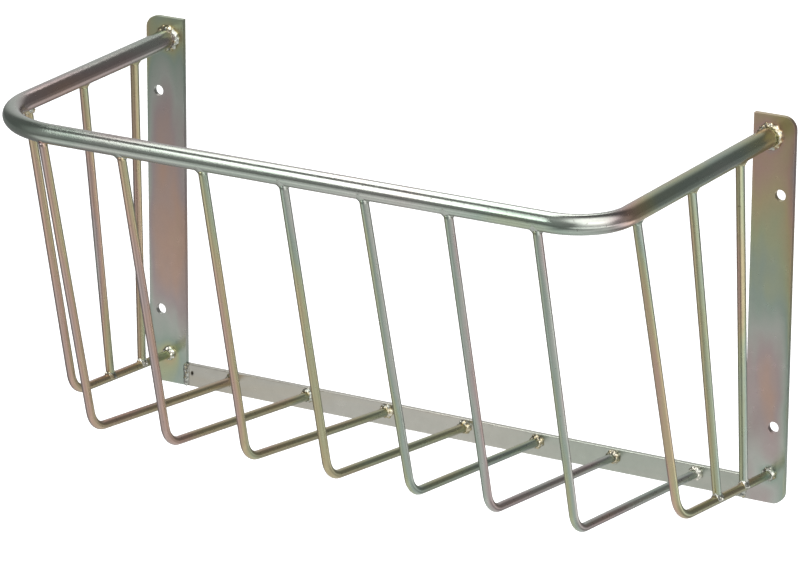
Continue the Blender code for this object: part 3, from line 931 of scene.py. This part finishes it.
def make_plate(side):
    """The flat shape stood up at the plate's front face, x = sign (half width - plate width + across)."""
    x = SIGN[side] * (HALF_WIDTH - PLATE_WIDTH + flat[:, 0])
    points = np.stack([x, np.full(len(flat), -PLATE_THICKNESS), flat[:, 1] + PLATE_FOOT], axis=1)
    a, b, c = points[flat_faces[:, 0]], points[flat_faces[:, 1]], points[flat_faces[:, 2]]
    facing = np.cross(b - a, c - a)[:, 1]
    faces = np.where(facing[:, None] > 0, flat_faces[:, ::-1], flat_faces)
    from_outer = PLATE_WIDTH - flat[:, 0]
    film = np.interp(flat[:, 1], FILM_HEIGHTS, PLATE_FILM[side])
    film = film + EDGE_FILM * np.exp(-from_outer / EDGE_FILM_REACH)
    heat = halo(side)
    marks = {"film": film + HALO_FILM * heat, "heat": heat}
    plate = add_piece("plated_plate_" + side, points, [faces], plate_zinc, side + "_plate", marks)
    thick = plate.modifiers.new("thickness", "SOLIDIFY")
    thick.thickness = PLATE_THICKNESS
    thick.offset = -1
    worn = plate.modifiers.new("worn_edges", "BEVEL")
    worn.width = EDGE_WEAR
    worn.segments = 2
    worn.limit_method = "ANGLE"
    worn.harden_normals = True
    return plate


for side in SIGN:
    plate = make_plate(side)
    print(plate.name, "points:", len(plate.data.vertices))

# %% [markdown]
# The bottom bar is 22 by 5 mm flat bar between the plates. Its section is a rectangle with rounded
# corners, carried straight along the wall. Near its left end the weld left one small round pit, so the
# grid is finer there.

# %% Bottom bar
BOTTOM_BAR_HEIGHT = 0.022
BOTTOM_BAR_EDGE = 0.0007
BOTTOM_BAR_GAP = 0.0002
BOTTOM_BAR_ROWS = 120
BOTTOM_FILM_AT = [-0.28, -0.20, -0.10, 0.0, 0.12, 0.20, 0.28]
BOTTOM_FILM = [0.15, 0.3, 0.45, 0.4, 0.9, 0.95, 0.9]
EDGE_POINTS = 5
LONG_SIDE_POINTS = 48
PIT_X = -0.2875
PIT_Z = 0.0025
PIT_RADIUS = np.array([0.0011, 0.0015])
PIT_DEPTH = 0.0006
PIT_ROWS = PIT_X + np.linspace(-0.0025, 0.0025, 17)
PIT_DARKNESS = 2.5
FOOT_HEAT = 0.5
FOOT_HEAT_REACH = 0.004


def rounded_section(half_y, half_z, radius):
    """A rectangle's outline with a quarter circle at each corner and many points on its two long sides."""
    turn = np.linspace(0, np.pi / 2, EDGE_POINTS)
    long_side = np.linspace(-1, 1, LONG_SIDE_POINTS)[1:-1]
    inner_y, inner_z = half_y - radius, half_z - radius
    parts = []
    for quarter, (y_sign, z_sign) in enumerate([(1, 1), (-1, 1), (-1, -1), (1, -1)]):
        angle = turn + quarter * np.pi / 2
        y, z = y_sign * inner_y + radius * np.cos(angle), z_sign * inner_z + radius * np.sin(angle)
        parts.append(np.stack([y, z], axis=1))
        if y_sign != z_sign:
            y, z = np.full(len(long_side), y_sign * half_y), y_sign * long_side * inner_z
            parts.append(np.stack([y, z], axis=1))
    return np.concatenate(parts)


def make_bottom_bar():
    """The section carried along x, with the pit as a round dent of depth exp(-distance squared)."""
    end = HALF_WIDTH - PLATE_WIDTH - BOTTOM_BAR_GAP
    spaced = np.sort(np.concatenate([np.linspace(-end, end, BOTTOM_BAR_ROWS), PIT_ROWS]))
    x = np.concatenate([[-end], spaced, [end]])
    section = rounded_section(PLATE_THICKNESS / 2, BOTTOM_BAR_HEIGHT / 2, BOTTOM_BAR_EDGE)
    ring = section + np.array([-PLATE_THICKNESS / 2, BOTTOM_BAR_HEIGHT / 2 + PLATE_FOOT])
    grid = np.stack(np.broadcast_arrays(x[:, None], ring[None, :, 0], ring[None, :, 1]), axis=-1)
    points, faces = capped(grid)
    from_pit = np.linalg.norm((points[:, [0, 2]] - [PIT_X, PIT_Z]) / PIT_RADIUS, axis=1)
    pit = np.exp(-from_pit ** 2) * (points[:, 1] < -PLATE_THICKNESS / 2)
    points[:, 1] += PIT_DEPTH * pit
    film = np.interp(points[:, 0], BOTTOM_FILM_AT, BOTTOM_FILM)
    feet = np.array([front_corners(number)[2][0] for number in range(7)])
    heat = FOOT_HEAT * np.exp(-np.abs(points[:, :1] - feet) / FOOT_HEAT_REACH).max(1)
    marks = {"film": film, "heat": heat, "pit": np.minimum(PIT_DARKNESS * pit, 1)}
    return add_solid("plated_bottom_bar", points, faces, flat_zinc, "bottom_bar", marks)


print("bottom bar points:", len(make_bottom_bar().data.vertices))

# %% [markdown]
# The welds. At a foot, metal froze round the bar's end in bright drops, and the gaps between them are
# darkened with painted shade. At a top it ran into the corner as a small smooth fillet. Both are rings: a
# curve from its toe on the seat up to the bar, carried round the bar. First the drops: round bumps at
# uneven places in two rows, on the ring unrolled to a strip, where u goes round the bar and v from the seat
# up.

# %% Frozen drops
DROP_TALL = 0.24
DROP_LEVELS = (0.25, 0.72)
LEVEL_SCATTER = 0.12
TURN_SCATTER = 0.5
DROP_SIZES = (0.6, 1.5)


def bumps(u, v, turns, levels, sizes):
    """Round bumps, the sum of exp(-distance squared) over their places; u closes round the ring."""
    total = np.zeros(np.broadcast_shapes(u.shape, v.shape))
    for u0, v0, size in zip(turns, levels, sizes):
        round_off = np.abs((u - u0 + np.pi) % (2 * np.pi) - np.pi)
        total += np.exp(-(round_off / size) ** 2 - ((v - v0) / DROP_TALL) ** 2)
    return total


def drops(u, v, seed, count, size):
    """Bumps in two uneven rows round the ring, less their mean: above 0 on a drop, below 0 in a gap."""
    rng = np.random.default_rng(seed)
    even_turns = np.linspace(0, 2 * np.pi, count, endpoint=False)
    turns = even_turns + rng.uniform(-TURN_SCATTER, TURN_SCATTER, count) * 2 * np.pi / count
    even_levels = np.where(np.arange(count) % 2 == 0, *DROP_LEVELS)
    levels = even_levels + rng.uniform(-LEVEL_SCATTER, LEVEL_SCATTER, count)
    field = bumps(u, v, turns, levels, size * rng.uniform(*DROP_SIZES, count))
    return field - field.mean()


def round_ring(sides):
    """The angles of a ring's columns, as one row."""
    return np.linspace(0, 2 * np.pi, sides, endpoint=False)[None, :]


test_drops = drops(round_ring(72), np.linspace(0, 1, 19)[:, None], 1, 16, 0.24)
print("drops rise from", round(test_drops.min(), 2), "to", round(test_drops.max(), 2))

# %% [markdown]
# The seat is the plate's flat face or the round of a rod, so each point of the ring starts where a line
# along the bar meets the seat. From there it goes up by its own rise. Two more rows inside the bar close
# the loop, out of sight, so that every weld is a closed ring.

# %% Rings on a seat
RING_START = np.array([0.31, 0.17, 0.93])
RING_INSIDE = 0.75
RING_SINK = 0.0005


def flat_seat(depth):
    """How far along the axis a point is from the plane that stands depth out from the wall."""
    return lambda points, axis: (-depth - points[..., 1]) / axis[1]


def round_seat(centre, along, radius):
    """How far along the axis a point is from the outside of a rod, from |q + s a|^2 = r^2."""
    def distance(points, axis):
        q = points - centre
        q = q - (q @ along)[..., None] * along
        a = axis - (axis @ along) * along
        half = q @ a
        size = a @ a
        inside = np.maximum(half ** 2 - size * ((q ** 2).sum(-1) - radius ** 2), 0)
        return (-half + np.sqrt(inside)) / size
    return distance


def around(axis, sides):
    """The directions square to the axis in which a ring's columns lie: cos u across + sin u third."""
    u = round_ring(sides)[0, :, None]
    across = unit(np.cross(axis, RING_START))
    third = np.cross(axis, across)
    return np.cos(u) * across + np.sin(u) * third


def leaning(axis, sides, lean):
    """How much of the ring is on each side: 1 + the part of lean that points there."""
    return (1 + around(axis, sides) @ np.array(lean))[None, :]


def ring_grid(foot, axis, rod_radius, seat, out, up):
    """Points at out from the axis and up from the seat, and two rows inside the rod that close the ring."""
    toe = out[:1]
    sunk = np.full_like(toe, -RING_SINK)
    inner = np.full_like(toe, rod_radius * RING_INSIDE)
    out = np.concatenate([toe, out, inner, inner])
    up = np.concatenate([sunk, up, up[-1:], sunk])
    start = foot + out[..., None] * around(axis, out.shape[1])
    return start + (seat(start, axis) + up)[..., None] * axis


def add_ring(node, grid, painted_shade, film, finish):
    """Hands a closed ring to the frame; painted_shade is the painted shade on the rows between toe and rod.
    """
    edge = np.zeros_like(painted_shade[:1])
    # The pit mark carries the painted shade; the toe and the inner rows get none.
    pit = np.concatenate([edge, painted_shade, edge, edge]).ravel()
    marks = {"pit": pit, "film": np.full(len(pit), film)}
    faces = grid_faces(*grid.shape[:2], rows_close=True)
    return add_solid(node.replace("weld", "bead"), grid.reshape(-1, 3), [faces], finish, node, marks)


WALL_SEAT = flat_seat(PLATE_FACE)
print("a line along the bar meets the wall seat after", WALL_SEAT(np.zeros(3), np.array([0, -1.0, 0])), "m")

# %% [markdown]
# A ring of drops bulges: its curve is nearly a quarter circle from the seat up to the bar, and the drops
# push it out. In a gap between drops the pit mark paints shade and makes it black. A fillet is
# hollow, as molten steel pulls itself into a corner, and it keeps the bar's own finish. The size of a ring
# is its reach over the seat and its rise along the bar.

# %% Two kinds of weld ring
DROP_ROWS = 19
DROP_CURVE = 1.2
DROP_WIDTH = 0.0016
DROP_RISE = 0.0011
DROP_LEAN = (0.15, 0, 0.2)
DROP_FILM = (0.1, 0.6)
# Painted shade in the gaps between drops: where it starts, how fast it deepens, its scatter and its darkest.
GAP_START = 1.1
GAP_SLOPE = 2.2
GAP_SCATTER = (0.4, 0.9)
GAP_SHADE_DARKEST = 0.85
GAP_SEED_STEP = 9
FILLET_ROWS = 13
FILLET_SIDES = 48
FILLET_CURVE = 2.7
FILLET_REACH = 0.0024
FILLET_RISE = 0.0030
FILLET_WOBBLE = 0.12


def drop_ring(node, foot, axis, rod_radius, seat, size, seed, count=16, sides=72, lean=DROP_LEAN):
    """A ring of frozen drops: out = radius + reach cos^1.2, up = rise sin^1.2, pushed out by the drops."""
    reach, rise = size
    v = np.linspace(0, 1, DROP_ROWS)[:, None]
    share = leaning(axis, sides, lean)
    field = drops(round_ring(sides), v, seed, count, DROP_WIDTH / (rod_radius + reach))
    turn = v * np.pi / 2
    push = DROP_RISE * field
    out = rod_radius + share * reach * np.cos(turn) ** DROP_CURVE + push * np.cos(turn)
    up = share * rise * np.sin(turn) ** DROP_CURVE + push * np.sin(turn)
    # Painted shade: black in the gaps between drops, where the drop field is low.
    scatter = np.random.default_rng(seed + GAP_SEED_STEP).uniform(*GAP_SCATTER)
    painted_shade = np.clip(-GAP_START - GAP_SLOPE * field + scatter, 0, GAP_SHADE_DARKEST)
    film = np.random.default_rng(seed).uniform(*DROP_FILM)
    return add_ring(node, ring_grid(foot, axis, rod_radius, seat, out, up), painted_shade, film, weld_zinc)


def fillet_ring(node, foot, axis, seat, seed, lean, film, size=1.0):
    """A hollow fillet round a bar: out = radius + reach cos^2.7, up = rise sin^2.7, a little uneven."""
    turn = np.linspace(0, 1, FILLET_ROWS)[:, None] * np.pi / 2
    share = leaning(axis, FILLET_SIDES, lean)
    wobble = size + FILLET_WOBBLE * np.sin(3 * round_ring(FILLET_SIDES) + seed)
    out = BAR_RADIUS + share * wobble * FILLET_REACH * np.cos(turn) ** FILLET_CURVE
    up = share * wobble * FILLET_RISE * np.sin(turn) ** FILLET_CURVE
    grid = ring_grid(foot, axis, BAR_RADIUS, seat, out, up)
    return add_ring(node, grid, np.zeros_like(out), film, bar_zinc)


print("fillets reach", FILLET_REACH, "m and rise", FILLET_RISE, "m")

# %% [markdown]
# Now the rings in their places. A front bar's top weld leans toward the left and the wall. The first one
# is smaller and leans toward the wall only. The welds at the side bars' feet sit on the end bar's floor
# run instead of on a plate, and the rail's own ends get the two biggest rings.

# %% Weld rings
FOOT_SIZE = (0.0028, 0.0042)
TOP_SIZE = (0.0020, 0.0034)
SIDE_SIZE = (0.0018, 0.0030)
SMALL_COUNT = 12
RAIL_END = {"size": (0.0036, 0.0042), "count": 28, "sides": 128, "lean": (0, 0, 0)}
TOP_LIFT = 0.002
TOWARD_LEFT = (-0.5, 0.6, 0)
TOWARD_WALL = (0, 0.5, 0)
FIRST_TOP = {"lean": TOWARD_WALL, "film": 0.40, "size": 0.2}
OTHER_TOPS = {"lean": TOWARD_LEFT, "film": 0.56, "size": 1.0}

front_line = round_seat(spot(0, RAIL_DEPTH, RAIL_HEIGHT), np.array([1.0, 0, 0]), RAIL_RADIUS)
for number in range(7):
    top, corner, foot = front_corners(number)
    down = unit(corner - top)
    fillet_ring(f"weld_front_top_{number + 1}", top - down * TOP_LIFT, down, front_line, number,
                **(OTHER_TOPS if number else FIRST_TOP))
    drop_ring(f"weld_front_foot_{number + 1}", foot, unit(corner - foot), BAR_RADIUS, WALL_SEAT, FOOT_SIZE,
              SEEDS["front_foot"] + number)
for index, side in enumerate(SIGN):
    top, corner, foot = end_corners(side)
    down, floor_run = unit(corner - top), unit(corner - foot)
    rail_run = unit(on_rail(side, RAIL_DEPTH) - on_rail(side, 0))
    side_line = round_seat(on_rail(side, 0.1), rail_run, RAIL_RADIUS)
    floor_line = round_seat(foot, floor_run, BAR_RADIUS)
    if side == "left":
        drop_ring("weld_end_top_left", top, down, BAR_RADIUS, side_line, TOP_SIZE,
                  SEEDS["end_top"], SMALL_COUNT)
    else:
        fillet_ring("weld_end_top_right", top, down, side_line, SEEDS["end_fillet"], TOWARD_WALL,
                    END_FILM[side][0])
    drop_ring("weld_end_foot_" + side, foot, floor_run, BAR_RADIUS, WALL_SEAT, FOOT_SIZE,
              SEEDS["end_foot"] + index)
    for place, which in enumerate(("front", "rear"), 2 * index):
        top, stand = side_ends(side, which)
        down = unit(stand - top)
        fillet_ring(f"weld_side_top_{side}_{which}", top, down, side_line, SEEDS["side_fillet"] + place,
                    TOWARD_WALL, SIDE_FILM[side, which][0])
        drop_ring(f"weld_side_foot_{side}_{which}", stand, -down, BAR_RADIUS, floor_line, SIDE_SIZE,
                  SEEDS["side_foot"] + place, SMALL_COUNT)
    drop_ring("weld_rail_" + side, on_rail(side, PLATE_FACE), rail_run, RAIL_RADIUS, WALL_SEAT,
              seed=SEEDS["rail_end"] + index, **RAIL_END)

# %% [markdown]
# Where the bottom bar butts on a plate, an upright bead covers the seam. Its section is half an oval that
# shrinks to nothing at both ends, and five drops swell it at uneven heights. Between the drops the bead is
# darkened with painted shade, and on the drops it is clear.

# %% Seam beads
SEAM_HEIGHT = 0.0232
SEAM_HALF_WIDTH = 0.0034
SEAM_RISE = 0.0016
SEAM_DROPS = (0.12, 0.33, 0.56, 0.70, 0.88)
SEAM_DROP_SIZES = (0.05, 0.09)
SEAM_SWAY = 0.9
SEAM_DROP_TURN = 1.1
SEAM_ROWS = 81
SEAM_SIDES = 48
PLAIN_WIDTH, DROP_SWELLS_WIDTH = 0.85, 0.20
PLAIN_RISE, DROP_SWELLS_RISE = 0.55, 0.65
SEAM_BACK = 0.2
# How dark the painted shade on the seam bead gets, and how fast its drops clear it.
SEAM_SHADE_DARKEST = 0.25
SEAM_SHADE_CLEARING = 0.9
SEAM_FILM = 0.3


def make_seam(side, seed):
    """Half an oval carried upwards: width and rise follow the root of 1 - (2h - 1)^4, and the drops."""
    rng = np.random.default_rng(seed)
    h = np.linspace(0, 1, SEAM_ROWS)[:, None]
    u = round_ring(SEAM_SIDES)
    swell = np.sqrt(np.maximum(1 - (2 * h - 1) ** 4, 0))
    sizes = rng.uniform(*SEAM_DROP_SIZES, len(SEAM_DROPS))
    sways = rng.uniform(-SEAM_SWAY, SEAM_SWAY, len(SEAM_DROPS))
    drop = sum(np.exp(-((h - middle) / size) ** 2 - ((u - np.pi / 2 - sway) / SEAM_DROP_TURN) ** 2)
               for middle, size, sway in zip(SEAM_DROPS, sizes, sways))
    width = swell * (PLAIN_WIDTH + DROP_SWELLS_WIDTH * drop)
    rise = SEAM_RISE * swell * (PLAIN_RISE + DROP_SWELLS_RISE * drop)
    x = SIGN[side] * (HALF_WIDTH - PLATE_WIDTH) + SEAM_HALF_WIDTH * width * np.cos(u)
    y = -PLATE_FACE - rise * np.maximum(np.sin(u), -SEAM_BACK)
    z = PLATE_FOOT + BOTTOM_BAR_HEIGHT / 2 + (h - 0.5) * SEAM_HEIGHT
    points, faces = capped(np.stack(np.broadcast_arrays(x, y, z), axis=-1))
    # Painted shade: the bead is darker between its drops and clear on them.
    painted_shade = np.clip(SEAM_SHADE_DARKEST - SEAM_SHADE_CLEARING * drop, 0, SEAM_SHADE_DARKEST)
    marks = {"pit": np.concatenate([painted_shade[1:-1].ravel(), [0, 0]]), "film": np.full(len(points), SEAM_FILM)}
    return add_solid("bead_seam_" + side, points, faces, weld_zinc, "weld_seam_" + side, marks)


for index, side in enumerate(SIGN):
    make_seam(side, SEEDS["seam"] + index)
